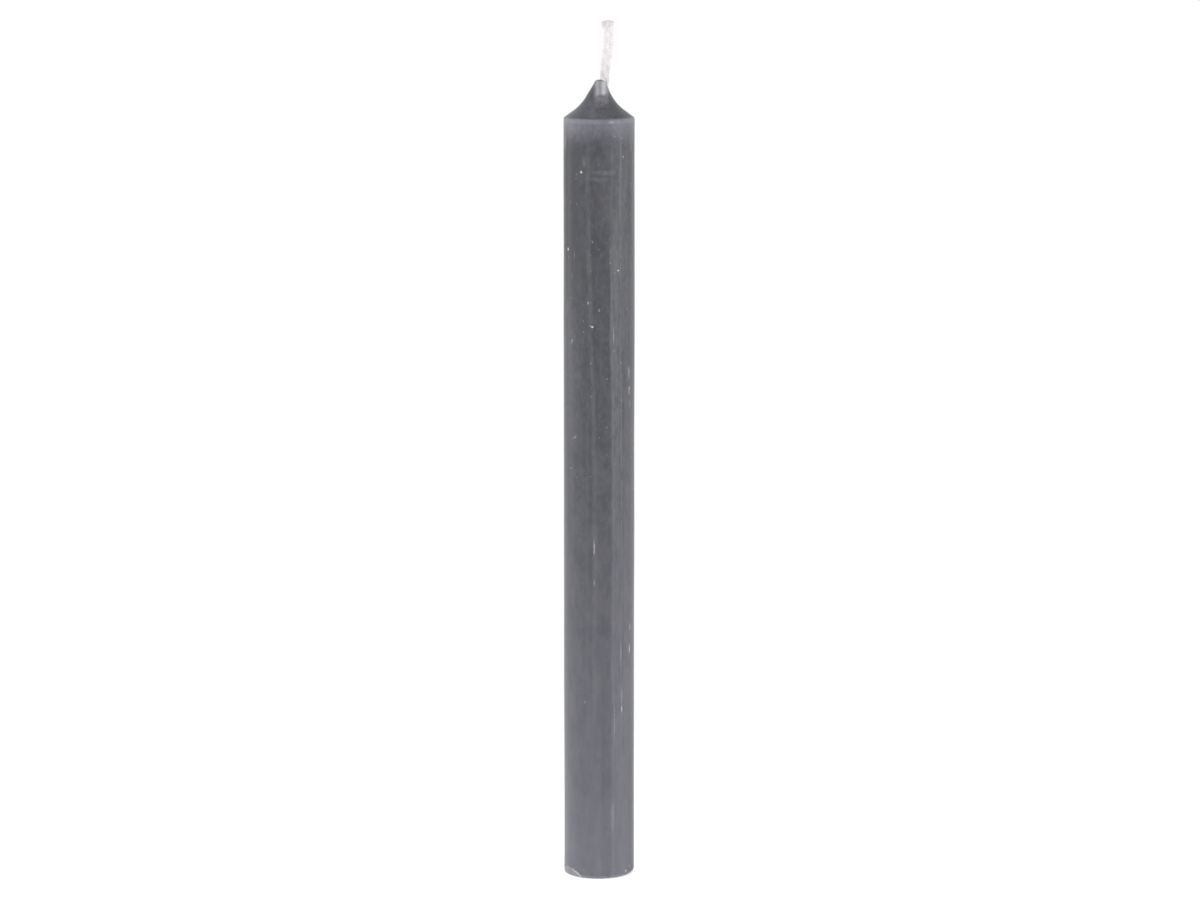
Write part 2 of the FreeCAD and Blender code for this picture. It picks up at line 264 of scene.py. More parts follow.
# Short scuffs, in the same terms
SCUFFS = [
    (5, 222.3, 5.6, 1.05, 0.065),
    (1, 220.3, 4.8, 1.05, 0.050),
    (38, 72.0, 0.35, 5.00, 0.22),
    (40, 58.0, 0.45, 4.20, 0.16),
    (26, 50.0, 0.30, 9.00, 0.16),
    (23, 20.0, 0.90, 7.00, 0.10),
    (24, 172.0, 0.35, 4.20, 0.22),
    (57, 159.5, 0.90, 2.60, 0.20),
    (58, 154.0, 0.55, 1.60, 0.26),
    (-50, 169.5, 0.70, 1.10, 0.14),
    (-62, 180.0, 0.90, 3.00, 0.07),
    (-25, 225.5, 0.60, 2.40, 0.12),
    (-74, 231.0, 1.50, 3.40, 0.18),
    (62, 231.0, 1.20, 4.50, 0.06),
    (20, 237.7, 1.10, 0.34, 0.34),
    (-44, 196.6, 0.22, 1.80, 0.22),
    (-50, 190.0, 0.25, 1.20, 0.16),
    (-46, 139.6, 1.30, 0.25, 0.18),
    (-52, 130.0, 0.90, 0.30, 0.25),
    (56, 161.0, 0.50, 1.40, 0.20),
    (60, 150.0, 0.35, 2.00, 0.25),
    (104, 181.0, 2.40, 0.18, 0.18),
    (140, 232.0, 0.30, 1.60, 0.20),
    (-160, 60.0, 1.60, 0.20, 0.20),
    (-126, 100.0, 0.25, 1.80, 0.20),
]

# Pale lines along the stick: marks that the die left, and down the front painted reflection lines. Azimuth
# at the shoulder and from half way down, half width in degrees, strength, and the heights between which
# they show. Those past 80 degrees are guessed.
DIE_AND_REFLECTION_LINES = [
    (-19, -7, 6.0, 0.32, 40, 236),
    (-16, -20, 5.0, 0.10, 10, 190),
    (19, 24, 4.2, 0.50, -18, 206),
    (19, 19, 4.6, 0.26, 190, 236),
    (12, 12, 9.0, 0.14, 196, 236),
    (26, 30, 11.0, 0.34, 8, 212),
    (36, 39, 3.2, 0.44, 20, 236),
    (46, 50, 12.0, 0.28, 10, 236),
    (60, 64, 5.0, 0.20, 90, 200),
    (-58, -50, 9.0, 0.10, 30, 230),
    (92, 88, 5.0, 0.35, 20, 233),
    (121, 126, 3.0, 0.30, 50, 236),
    (152, 149, 6.0, 0.32, 8, 220),
    (-172, -176, 4.0, 0.45, 10, 236),
    (-141, -136, 5.5, 0.28, 30, 228),
    (-109, -112, 3.0, 0.34, 14, 236),
    (-84, -79, 6.0, 0.22, 60, 236),
]


def spot_mask(tree, unrolled, spots):
    """How strongly a point lies in one of the spots. Each is an ellipse on the side rolled out flat."""
    degree = math.radians(STICK_RADIUS)
    strongest = 0.0
    for azimuth, height, across, along, strength in spots:
        size = (degree / across, 1 / along, 0.0)
        shift = (-azimuth * degree / across, -height / along, 0.0)
        away = vector_maths(tree, "MULTIPLY_ADD", unrolled, size, shift)
        away = add(tree, "ShaderNodeVectorMath", {"operation": "LENGTH"}, {0: away}).outputs[1]
        strongest = maths(tree, "MAXIMUM", fade(tree, away, 1.0, 0.25, 0.0, strength), strongest)
    return strongest


def make_wax():
    """Dyed paraffin and stearin wax, drawn through a die and handled: a dark, slightly bluish satin skin
    with lengthwise draw marks, a pale bloom below the shoulder, paler towards the base, and white nicks
    where the skin is broken. Painted reflection lines, highlights and shade are mixed into its colour."""
    material, tree, output = new_material("dyed_candle_wax")
    place = place_in_mm(tree)
    axes = add(tree, "ShaderNodeSeparateXYZ", None, {0: place})
    across, height = axes.outputs["X"], axes.outputs["Z"]

    # Mottling of a few millimetres, clouded bloom, and fine marks of the die that run many centimetres
    cloud = stretched_noise(tree, place, (1.0, 1.0, 0.45), 0.30, detail=4.0, roughness=0.6)
    patch = stretched_noise(tree, place, (1.0, 1.0, 0.55), 0.85, detail=3.0, roughness=0.6)
    fine_marks = stretched_noise(tree, place, (1.0, 1.0, 0.02), 1.1, detail=1.5, roughness=0.5)
    grain = stretched_noise(tree, place, (1.0, 1.0, 1.0), 3.2, detail=3.0, roughness=0.6)

    skin = blend(tree, fade(tree, cloud, 0.35, 0.65), to_linear("#484a50"), to_linear("#535357"))
    mottling = fade(tree, patch, 0.42, 0.70, 0.0, 0.36)
    mottling = maths(tree, "MULTIPLY", mottling, fade(tree, height, 60.0, 170.0, 0.35))
    skin = blend(tree, mottling, skin, to_linear("#65656e"))
    skin = blend(tree, fade(tree, fine_marks, 0.45, 0.8, 0.0, 0.09), skin, to_linear("#696a6f"))
    skin = blend(tree, fade(tree, grain, 0.45, 0.70, 0.0, 0.08), skin, to_linear("#74747c"))

    # Pale lines, partly die marks and partly painted reflection lines, broken along their length
    azimuth = maths(tree, "ARCTAN2", across, maths(tree, "MULTIPLY", axes.outputs["Y"], -1.0))
    azimuth = maths(tree, "MULTIPLY", azimuth, 180 / math.pi)
    unrolled = add(tree, "ShaderNodeCombineXYZ", None, {"X": azimuth, "Y": height}).outputs[0]
    rough = add(tree, "ShaderNodeTexNoise", None, {"Vector": place, "Scale": 2.2, "Detail": 2.0})
    unrolled = vector_maths(tree, "MULTIPLY_ADD", rough.outputs["Color"], (2.6, 0.6, 0.0), unrolled)
    unrolled = vector_maths(tree, "SUBTRACT", unrolled, (1.3, 0.3, 0.0))
    wander = stretched_noise(tree, place, (0.0, 0.0, 1.0), 0.05, detail=4.0)
    rough_azimuth = add(tree, "ShaderNodeSeparateXYZ", None, {0: unrolled}).outputs["X"]
    rough_azimuth = maths(tree, "MULTIPLY_ADD", maths(tree, "SUBTRACT", wander, 0.5), 11.0, rough_azimuth)
    broken = stretched_noise(tree, place, (1.0, 1.0, 0.25), 0.7, detail=4.0, roughness=0.7)
    broken = fade(tree, broken, 0.34, 0.60, 0.35, 1.0)
    die_and_reflection_lines = 0.0
    for high_azimuth, low_azimuth, width, strength, low, high in DIE_AND_REFLECTION_LINES:
        centre = fade(tree, height, 110.0, 230.0, low_azimuth, high_azimuth)
        gap = maths(tree, "SUBTRACT", rough_azimuth, centre)
        gap = maths(tree, "WRAP", gap, 180.0, -180.0)
        line = fade(tree, maths(tree, "ABSOLUTE", gap), width, width * 0.2, 0.0, strength)
        line = maths(tree, "MULTIPLY", line, between(tree, height, low, low + 25.0, high - 8.0, high))
        die_and_reflection_lines = maths(tree, "MAXIMUM", line, die_and_reflection_lines)
    die_and_reflection_lines = maths(tree, "MULTIPLY", die_and_reflection_lines, broken)
    skin = blend(tree, die_and_reflection_lines, skin, to_linear("#78797e"))

    # Paler towards the base, and a bloom of fatty crystals in a band below the shoulder
    base_paling = fade(tree, height, 175.0, -5.0, 0.0, 0.50)
    base_paling = maths(tree, "ADD", base_paling, fade(tree, height, 30.0, 2.0, 0.0, 0.14))
    shoulder_bloom_and_highlight = fade(tree, height, 229.5, 237.6, 0.0, 0.62)
    # Painted highlight: a pale line along the shoulder's edge
    shoulder_bloom_and_highlight = maths(tree, "ADD", shoulder_bloom_and_highlight, fade(tree, height, 236.9, 237.5, 0.0, 0.30))
    edge_fade = fade(tree, height, 238.9, 238.3)
    shoulder_bloom_and_highlight = scaled(tree, shoulder_bloom_and_highlight, edge_fade, fade(tree, patch, 0.3, 0.65, 0.82, 1.05))
    paling_and_highlight = maths(tree, "MAXIMUM", base_paling, shoulder_bloom_and_highlight)
    # Painted shade: a strip down the front, round 11 degrees, is left less pale
    painted_shade_strip = fade(tree, apart(tree, rough_azimuth, 11.0), 10.0, 5.0, 1.0, 0.80)
    paling_and_highlight = scaled(tree, paling_and_highlight, fade(tree, cloud, 0.3, 0.7, 0.92, 1.10), painted_shade_strip)

    # Painted shade on the sides: the pale is taken off low on the right, and the skin darkened high on the
    # left
    painted_shade_right = between(tree, azimuth, 42.0, 72.0, 110.0, 150.0)
    painted_shade_right = scaled(tree, painted_shade_right, fade(tree, height, 75.0, 20.0, 0.0, 0.75))
    paling_and_highlight = maths(tree, "MULTIPLY", paling_and_highlight, maths(tree, "SUBTRACT", 1.0, painted_shade_right))
    skin = blend(tree, paling_and_highlight, skin, to_linear("#85858f"))
    painted_shade_left = between(tree, azimuth, -150.0, -110.0, -48.0, -18.0)
    painted_shade_left = scaled(tree, painted_shade_left, between(tree, height, 165.0, 205.0, 227.5, 236.0), 0.65)
    skin = blend(tree, painted_shade_left, skin, to_linear("#2f3035"))

    # Painted shade and light on the flare: darker on the right, with a soft painted highlight left of its
    # middle
    flare = between(tree, height, 238.4, 239.4, 242.0, 245.0)
    painted_shade_side = scaled(tree, flare, fade(tree, across, 1.5, 6.0, 0.0, 0.45))
    skin = blend(tree, painted_shade_side, skin, to_linear("#2f3035"))
    painted_highlight_streak = fade(tree, apart(tree, across, -2.2), 1.8, 0.2, 0.0, 0.30)
    painted_highlight_streak = scaled(tree, flare, painted_highlight_streak, fade(tree, patch, 0.3, 0.6, 0.6, 1.0))
    skin = blend(tree, painted_highlight_streak, skin, to_linear("#7c7c84"))

    # The wax over the wick is thin at the tip, and its white shows through. Along two ribs over the
    # strands, painted highlights are added.
    over_wick = between(tree, across, -2.2, -0.8, 2.2, 3.3)
    ragged_height = maths(tree, "MULTIPLY_ADD", maths(tree, "SUBTRACT", patch, 0.5), 3.0, height)
    depth = fade(tree, ragged_height, 241.2, 244.4, 0.0, 0.22)
    depth = maths(tree, "ADD", depth, fade(tree, ragged_height, 244.4, 246.2, 0.0, 0.26))
    left_rib_highlight = fade(tree, apart(tree, across, -0.5), 0.70, 0.05, 0.0, 0.28)
    right_rib_highlight = fade(tree, apart(tree, across, 1.4), 1.0, 0.15, 0.0, 0.62)
    rib_highlights = maths(tree, "ADD", left_rib_highlight, right_rib_highlight)
    rib_highlights = maths(tree, "MULTIPLY", rib_highlights, fade(tree, ragged_height, 244.7, 246.8))
    show_through_and_highlights = maths(tree, "ADD", depth, rib_highlights)
    thin_wax_and_highlights = scaled(tree, over_wick, show_through_and_highlights, fade(tree, patch, 0.3, 0.7, 0.85, 1.1))
    skin = blend(tree, thin_wax_and_highlights, skin, to_linear("#b7b6be"))
    # Painted shade: the top half millimetre of the tip, round the wick, is darkened
    crown = fade(tree, height, WAX_TOP - 0.55, WAX_TOP - 0.1, 0.0, 0.6)
    skin = blend(tree, crown, skin, to_linear("#595960"))

    # Painted reflection of the white floor: the edge that the candle stands on is made paler
    painted_floor_reflection = maths(tree, "MULTIPLY", fade(tree, height, 1.3, 0.2), fade(tree, patch, 0.3, 0.6, 0.35, 0.85))
    skin = blend(tree, painted_floor_reflection, skin, to_linear("#a2a2a9"))

    # The flake left a torn facet, paler than the skin, and a whitened ridge where it broke away
    flake = add(tree, "ShaderNodeAttribute", {"attribute_name": "flake"}).outputs["Fac"]
    ragged = maths(tree, "SUBTRACT", patch, 0.5)
    torn = maths(tree, "MULTIPLY_ADD", ragged, fade(tree, flake, 0.0, 0.1, 0.0, 0.9), flake)
    skin = blend(tree, fade(tree, torn, 0.15, 0.75, 0.0, 0.62), skin, to_linear("#99999d"))
    ridge = fade(tree, apart(tree, torn, 0.42), 0.38, 0.02, 0.0, 0.72)
    ridge = maths(tree, "MULTIPLY", ridge, fade(tree, azimuth, -58.0, -38.0, 0.25, 1.0))
    skin = blend(tree, ridge, skin, to_linear("#d2d2d6"))

    # Dust and pinholes a few tenths of a millimetre across, in about one cell out of nine of a 2.5 mm grid
    speckle = vector_maths(tree, "MULTIPLY", unrolled, (math.radians(STICK_RADIUS), 0.7, 0.0))
    cells = {"Vector": speckle, "Scale": 0.4}
    speckle = add(tree, "ShaderNodeTexVoronoi", {"voronoi_dimensions": "2D"}, cells)
    dust = fade(tree, speckle.outputs["Distance"], 0.10, 0.03, 0.0, 0.28)
    chosen = add(tree, "ShaderNodeSeparateXYZ", None, {0: speckle.outputs["Color"]}).outputs["X"]
    dust = scaled(tree, dust, fade(tree, chosen, 0.82, 0.96), fade(tree, height, 90.0, 170.0, 0.4))
    dust = scaled(tree, dust, fade(tree, height, 239.5, 238.0))
    skin = blend(tree, dust, skin, to_linear("#c4c4cb"))

    # White nicks and scuffs, with two painted highlights low on the base's right
    nicks_and_highlights = spot_mask(tree, unrolled, NICKS_AND_HIGHLIGHTS)
    scuffs = spot_mask(tree, unrolled, SCUFFS)
    scuffs = maths(tree, "MULTIPLY", scuffs, fade(tree, grain, 0.35, 0.60, 0.35, 1.0))
    skin = blend(tree, maths(tree, "MAXIMUM", nicks_and_highlights, scuffs), skin, to_linear("#e0e0e6"))

    # Heights in millimetres: a slow waviness, the die's marks, the mottling and fine pores
    wave = stretched_noise(tree, place, (1.0, 1.0, 0.3), 0.09, detail=1.0)
    relief = maths(tree, "MULTIPLY", wave, 0.20)
    for pattern, rise in ((fine_marks, 0.012), (patch, 0.030), (grain, 0.008)):
        relief = maths(tree, "ADD", relief, maths(tree, "MULTIPLY", pattern, rise))
    bump = add(tree, "ShaderNodeBump", None, {"Height": relief, "Distance": MM, "Strength": 1.0})

    roughness = fade(tree, cloud, 0.3, 0.7, 0.36, 0.48)
    roughness = maths(tree, "ADD", roughness, maths(tree, "MULTIPLY", paling_and_highlight, 0.12))
    shader = add(tree, "ShaderNodeBsdfPrincipled", None, {
        "Base Color": skin,
        "Roughness": roughness,
        "IOR": 1.44,
        "Specular IOR Level": 0.2,
        "Subsurface Weight": 0.12,
        "Subsurface Radius": (1.0, 0.95, 1.0),
        "Subsurface Scale": 0.0012,
        "Coat Weight": 0.3,
        "Coat Roughness": 0.16,
        "Coat IOR": 1.44,
        "Normal": bump.outputs[0],
    })
    tree.links.new(shader.outputs[0], output.inputs["Surface"])
    return material


def make_cotton():
    """Bleached cotton yarn, braided and primed with clear wax: off-white and matt, with fine fibres along
    the yarns, a slightly greyer cut end and a foot that the dyed wax has greyed."""
    material, tree, output = new_material("primed_cotton_yarn")
    place = place_in_mm(tree)
    height = add(tree, "ShaderNodeSeparateXYZ", None, {0: place}).outputs["Z"]
    fibres = stretched_noise(tree, place, (1.0, 1.0, 0.16), 9.0, detail=3.0, roughness=0.7)
    tufts = stretched_noise(tree, place, (1.0, 1.0, 0.6), 1.4, detail=2.0)

    yarn = blend(tree, fade(tree, fibres, 0.3, 0.7), to_linear("#eee8eb"), to_linear("#f6f2f4"))
    yarn = blend(tree, fade(tree, tufts, 0.45, 0.75, 0.0, 0.35), yarn, to_linear("#f6ecef"))
    cut_end = fade(tree, height, WICK_TOP - 2.6, WICK_TOP - 0.6, 0.0, 0.5)
    yarn = blend(tree, cut_end, yarn, to_linear("#d8d6d8"))
    dyed_foot = fade(tree, height, WAX_TOP + 6.5, WAX_TOP + 0.5, 0.0, 0.4)
    yarn = blend(tree, dyed_foot, yarn, to_linear("#cac9cb"))
    relief = maths(tree, "MULTIPLY", fibres, 0.015)
    relief = maths(tree, "ADD", relief, maths(tree, "MULTIPLY", tufts, 0.05))
    bump = add(tree, "ShaderNodeBump", None, {"Height": relief, "Distance": MM, "Strength": 1.0})
    shader = add(tree, "ShaderNodeBsdfPrincipled", None, {
        "Base Color": yarn,
        "Roughness": 0.75,
        "IOR": 1.47,
        "Sheen Weight": 0.25,
        "Sheen Roughness": 0.4,
        "Normal": bump.outputs[0],
    })
    tree.links.new(shader.outputs[0], output.inputs["Surface"])
    return material


# Wax stick
def arc(centre, radius, first, last, steps):
    """Points on an arc between two angles in degrees, both ends included."""
    angles = [math.radians(first + (last - first) * i / steps) for i in range(steps + 1)]
    return [centre + Vector((math.cos(a), math.sin(a))) * radius for a in angles]


def along(start, end, spacing):
    """Points between two ends, neither included, about a spacing apart."""
    steps = max(1, round((end - start).length / spacing))
    return [start.lerp(end, i / steps) for i in range(1, steps)]


def polar(radius, degrees):
    return Vector((math.cos(math.radians(degrees)), math.sin(math.radians(degrees)))) * radius


def flare_points():
    """The neck, and the flare's top, centre and foot, as (radius, height)."""
    neck = Vector((NECK_RADIUS, WAX_TOP - NECK_DROP))
    flare_top = neck - polar(TIP_FLANK, 180 - TIP_SLOPE)
    hollow = flare_top + polar(FLARE_RADIUS, 90 - TIP_SLOPE)
    return neck, flare_top, hollow, hollow + polar(FLARE_RADIUS, 270 - SHOULDER_SLOPE)


def stick_shoulder():
    """Height of the corner where the side would meet the shoulder's slope."""
    flare_foot = flare_points()[-1]
    return flare_foot.y - (STICK_RADIUS - flare_foot.x) * math.tan(math.radians(SHOULDER_SLOPE))


def stick_outline():
    """Half outline of the wax as (radius, height), from the middle of the base to that of the crown."""
    neck, flare_top, hollow, flare_foot = flare_points()
    shoulder_height = stick_shoulder()
    reach = SHOULDER_ROUND * math.tan(math.radians(45 - SHOULDER_SLOPE / 2))
    side_top = Vector((STICK_RADIUS, shoulder_height - reach))
    flank_foot = Vector((STICK_RADIUS, shoulder_height)) + polar(reach, 180 - SHOULDER_SLOPE)
    lip = Vector((LIP_RADIUS, WAX_TOP - LIP_DROP))
    crown = Vector((CROWN_RADIUS, WAX_TOP))

    base_centre = Vector((STICK_RADIUS - BASE_ROUND, BASE_ROUND))
    side_foot = Vector((STICK_RADIUS, 1.8))
    flake_clear = Vector((STICK_RADIUS, FLAKE_HEIGHT + 1.2))
    points = [Vector((0, 0.15)), Vector((2.2, 0.15)), Vector((2.9, 0.02)), Vector((3.4, 0.0))]
    points += along(points[-1], Vector((base_centre.x, 0)), 1.0)
    points += arc(base_centre, BASE_ROUND, 270, 360, 8)
    points += [side_foot] + along(side_foot, flake_clear, 0.15) + [flake_clear]
    points += along(flake_clear, side_top, 4.0)
    points += arc(side_top - Vector((SHOULDER_ROUND, 0)), SHOULDER_ROUND, 0, 90 - SHOULDER_SLOPE, 6)
    points += along(flank_foot, flare_foot, 0.5)
    points += arc(hollow, FLARE_RADIUS, 270 - SHOULDER_SLOPE, 270 - TIP_SLOPE, 14)
    points += along(flare_top, neck, 0.4)
    neck_handle = neck + polar(1.4, 180 - TIP_SLOPE)
    lip_handle = lip - polar(1.1, 180 - LIP_SLOPE)
    points += [p.xy for p in geometry.interpolate_bezier(neck, neck_handle, lip_handle, lip, 22)]
    lip_top = lip + polar(0.45, 180 - LIP_SLOPE)
    crown_side = crown + Vector((0.5, 0))
    points += [p.xy for p in geometry.interpolate_bezier(lip, lip_top, crown_side, crown, 10)[1:]]
    points += [Vector((CROWN_RADIUS * 0.5, WAX_TOP)), Vector((0, WAX_TOP))]
    return points


def wear_edges(vert, shoulder_height):
    """The edges of base and shoulder are worn rounder on the right than on the left."""
    radius = vert.co.xy.length
    if radius < STICK_RADIUS - 2:
        return
    rightness = 0.5 + 0.5 * vert.co.x / radius
    base_worn = 0.45 + 1.0 * rightness ** 2
    shoulder_worn = SHOULDER_ROUND * (0.8 + 0.96 * rightness ** 2)
    shoulder_turn = 90 - SHOULDER_SLOPE
    shoulder_drop = math.tan(math.radians(shoulder_turn / 2))
    spot = Vector((radius, vert.co.z))
    for worn, old, first, last, edge, rise in (
            (base_worn, BASE_ROUND, -90, 0, 0.0, 1.0),
            (shoulder_worn, SHOULDER_ROUND, 0, shoulder_turn, shoulder_height, -shoulder_drop)):
        out = spot - Vector((STICK_RADIUS - old, edge + old * rise))
        turn = math.degrees(math.atan2(out.y, out.x))
        if abs(out.length - old) > 0.01 or not first - 0.5 <= turn <= last + 0.5:
            continue
        spot = Vector((STICK_RADIUS - worn, edge + worn * rise)) + polar(worn, turn)
        vert.co.xy *= spot.x / radius
        vert.co.z = spot.y
        return


def cut_flake(vert, flake_layer):
    """The flake leaves a conical facet on an axis set back behind the stick's own, with a torn surface."""
    facing = Vector((math.cos(math.radians(FLAKE_AZIMUTH)), math.sin(math.radians(FLAKE_AZIMUTH)), 0))
    centre = -facing * (FLAKE_RADIUS - STICK_RADIUS + FLAKE_DEPTH)
    centre.z = vert.co.z
    out = vert.co - centre
    torn = 0.05 * noise.noise(vert.co * 1.3) + 0.02 * noise.noise(vert.co * 3.7)
    facet = FLAKE_RADIUS + FLAKE_DEPTH * vert.co.z / FLAKE_HEIGHT + torn
    depth = out.length - facet
    if depth <= 0 or vert.co.z > FLAKE_HEIGHT * 1.3:
        return
    vert.co = centre + out * (facet / out.length)
    vert[flake_layer] = smooth_step(0.0, 0.2, depth)


def shape_tip(vert):
    """The tip leans after the wick, and two strands stand out under the wax as ribs, back and front."""
    neck_height = WAX_TOP - NECK_DROP
    if vert.co.z < neck_height:
        return
    across = vert.co.x
    vert.co.x += TIP_LEAN * smooth_step(neck_height, WAX_TOP - LIP_DROP, vert.co.z)
    radius = vert.co.xy.length
    facing = smooth_step(0.35, 0.8, abs(vert.co.y) / max(radius, 0.01))
    height = smooth_step(neck_height - 0.2, neck_height + 1.6, vert.co.z)
    height *= 1 - smooth_step(WAX_TOP - 0.35, WAX_TOP, vert.co.z)
    ribs = sum(share * math.exp(-((across - centre) / width) ** 2) for centre, width, share in RIBS)
    push = RIB_HEIGHT * facing * height * ribs
    vert.co.y += math.copysign(push, vert.co.y)


def make_stick(material):
    bm = bmesh.new()
    flake_layer = bm.verts.layers.float.new("flake")
    outline = [bm.verts.new((p.x, 0, p.y)) for p in stick_outline()]
    edges = [bm.edges.new(pair) for pair in zip(outline, outline[1:])]
    bmesh.ops.spin(bm, geom=outline + edges, cent=(0, 0, 0), axis=(0, 0, 1), angle=2 * math.pi, steps=SIDES,
                   use_merge=True)
    bmesh.ops.remove_doubles(bm, verts=bm.verts, dist=1e-4)
    shoulder_height = stick_shoulder()
    for vert in bm.verts:
        wear_edges(vert, shoulder_height)
        cut_flake(vert, flake_layer)
        shape_tip(vert)
        # Between its ends the stick isn't dead straight: it wanders by a few hundredths of a millimetre
        sway = noise.noise_vector(Vector((vert.co.x * 0.08, vert.co.y * 0.08, vert.co.z * 0.03)))
        below_tip = 1 - smooth_step(WAX_TOP - 14.0, WAX_TOP - 9.0, vert.co.z)
        free = smooth_step(0.0, 12.0, vert.co.z) * below_tip
        vert.co += Vector((sway.x, sway.y, 0)) * SWAY * free
    bmesh.ops.recalc_face_normals(bm, faces=bm.faces)
    return finish_piece("wax_stick", bm, material)


# Wick
def wick_line():
    """Points along the wick's centre, on a smooth curve round the corners of its route."""
    curve = bpy.data.curves.new("wick_line", "CURVE")
    curve.dimensions = "3D"
    curve.resolution_u = 64
    spline = curve.splines.new("NURBS")
    spline.points.add(len(WICK_ROUTE) - 1)
    for point, (across, above) in zip(spline.points, WICK_ROUTE):
        point.co = (across, 0, above, 1)
    spline.order_u = 3
    spline.use_endpoint_u = True
    holder = bpy.data.objects.new("wick_line", curve)
    mesh = bpy.data.meshes.new_from_object(holder)
    points = [vert.co.copy() for vert in mesh.vertices]
    bpy.data.meshes.remove(mesh)
    bpy.data.objects.remove(holder)
    bpy.data.curves.remove(curve)
    return points


def resample(points, start_height, spacing):
    """Evenly spaced places along a line from a height up: (place, direction, distance)."""
    places = []
    travelled = 0.0
    due = 0.0
    for first, second in zip(points, points[1:]):
        if second.z < start_height:
            continue
        length = (second - first).length
        direction = (second - first) / length
        while due <= travelled + length:
            places.append((first + direction * (due - travelled), direction, due))
            due += spacing
        travelled += length
    return places


def add_spline(curve, points, radii):
    spline = curve.splines.new("POLY")
    spline.points.add(len(points) - 1)
    for target, point, radius in zip(spline.points, points, radii):
        target.co = (*point, 1)
        target.radius = radius


def side_of(direction):
    """Across the wick, square to it and to the Y axis, towards +X."""
    side = direction.cross(Vector((0, 1, 0)))
    return -side if side.x < 0 else side


def squeeze_at(height):
    """The share of its free width that the wax leaves the plait: least inside the tip, all 7 mm above."""
    squeeze = 0.62 + 0.18 * smooth_step(WAX_TOP - 4.0, WAX_TOP - 0.8, height)
    return squeeze + 0.20 * smooth_step(WAX_TOP - 1.0, WAX_TOP + 7.0, height)


def spread_end(across, distance, total):
    """At the trimmed end the strands spread, most of all to the left."""
    end = smooth_step(total - SPREAD_START, total - SPREAD_FULL, distance)
    across *= 1 + 0.04 * end
    return across - SPREAD_SHIFT * end * smooth_step(0.6, -1.2, across)


def make_core(curve, places):
    """The wax that primes the wick fills the middle of the plait, so its gaps are shallow."""
    total = places[-1][2]
    inside = [item for item in places if item[2] < total - CORE_DROP]
    for offset in CORE_OFFSETS:
        points = []
        for place, direction, distance in inside:
            across = spread_end(offset * squeeze_at(place.z), distance, total)
            points.append(place + side_of(direction) * across)
        add_spline(curve, points, [CORE_RADIUS] * len(points))


def make_yarns(curve, places, chance):
    """Three strands in a flat plait, each a flat bundle of twisted yarns. Returns each yarn's points."""
    total = places[-1][2]
    bulge = (WICK_DEPTH - STRAND_DEPTH) / 2
    yarns = []
    for strand in range(3):
        for yarn in range(OUTER_YARNS + INNER_YARNS):
            outer = yarn < OUTER_YARNS
            around = 2 * math.pi * yarn / (OUTER_YARNS if outer else INNER_YARNS)
            reach = 1.0 if outer else 0.4
            wander = Vector((chance.uniform(0, 50), chance.uniform(0, 50), 0))
            trim = chance.uniform(0.15, 0.32)
            points = []
            radii = []
            for place, direction, distance in places:
                squeeze = squeeze_at(place.z)
                swing = (PLAIT_WIDTH - STRAND_WIDTH) / 2 * squeeze
                wide = (STRAND_WIDTH / 2 - YARN_RADIUS) * reach * squeeze
                deep = (STRAND_DEPTH / 2 - YARN_RADIUS) * reach
                turn = 2 * math.pi * (distance / PLAIT_PITCH + strand / 3)
                twist = around + distance * 2 * math.pi / TWIST_PITCH
                loose = noise.noise_vector(wander + Vector((0, 0, distance * 0.35))) * LOOSENESS
                across = swing * math.tanh(1.5 * math.sin(turn)) / math.tanh(1.5)
                across += wide * math.cos(twist) + loose.x
                forward = bulge * math.sin(2 * turn) + deep * math.sin(twist) + loose.y
                across = spread_end(across, distance, total)
                forward *= 1 + 0.12 * smooth_step(total - SPREAD_START, total - SPREAD_FULL, distance)
                if distance > total - trim - 0.45 * smooth_step(0.9, 2.3, abs(across + 0.3)):
                    break
                points.append(place + side_of(direction) * across + Vector((0, 1, 0)) * forward)
                radii.append(YARN_RADIUS * (1 + 0.12 * noise.noise(wander + Vector((0, 0, distance)))))
            add_spline(curve, points, radii)
            yarns.append(points)
    return yarns


def make_tuft(curve, yarns, middle, chance):
    """The cut end of each yarn is a brush of fibres that leans outwards and closes the gaps between."""
    for yarn in yarns:
        end = yarn[-1]
        direction = (end - yarn[-3]).normalized()
        for _ in range(TUFT_FIBRES):
            around = chance.uniform(0, 2 * math.pi)
            reach = YARN_RADIUS * math.sqrt(chance.uniform(0, 1))
            shift = Vector((math.cos(around), math.sin(around), 0)) * reach
            out = (end - middle) * 0.035 + shift * chance.uniform(0.0, 0.5)
            out.z = 0
            start = end + shift - direction * 0.35
            lift = direction * chance.uniform(0.40, 0.52)
            bends = [(0.0, 0.0), (0.5, 0.2), (0.85, 0.7), (1.0, 1.2)]
            points = [start + lift * up + out * away for up, away in bends]
            add_spline(curve, points, [0.055, 0.055, 0.050, 0.030])


def make_fuzz(curve, yarns, chance):
    """Loose fibres that lie along the yarns and lift off them."""
    for _ in range(FUZZ_FIBRES):
        yarn = chance.choice(yarns)
        first = chance.randrange(30, len(yarn) - 5)
        along_yarn = (yarn[first + 3] - yarn[first]).normalized()
        turn = Quaternion(along_yarn, chance.uniform(0, 2 * math.pi))
        out = turn @ along_yarn.orthogonal().normalized()
        start = yarn[first] + out * YARN_RADIUS * 0.96
        run = along_yarn * chance.uniform(0.5, 1.3)
        lift = out * chance.uniform(0.06, 0.34)
        drift = along_yarn.cross(out) * chance.uniform(-0.25, 0.25)
        bends = [(0.0, 0.0, 0.0), (0.4, 0.15, 0.3), (0.75, 0.55, 0.7), (1.0, 1.0, 1.3)]
        points = [start + run * far + lift * up + drift * off for far, up, off in bends]
        add_spline(curve, points, [0.022, 0.020, 0.016, 0.008])


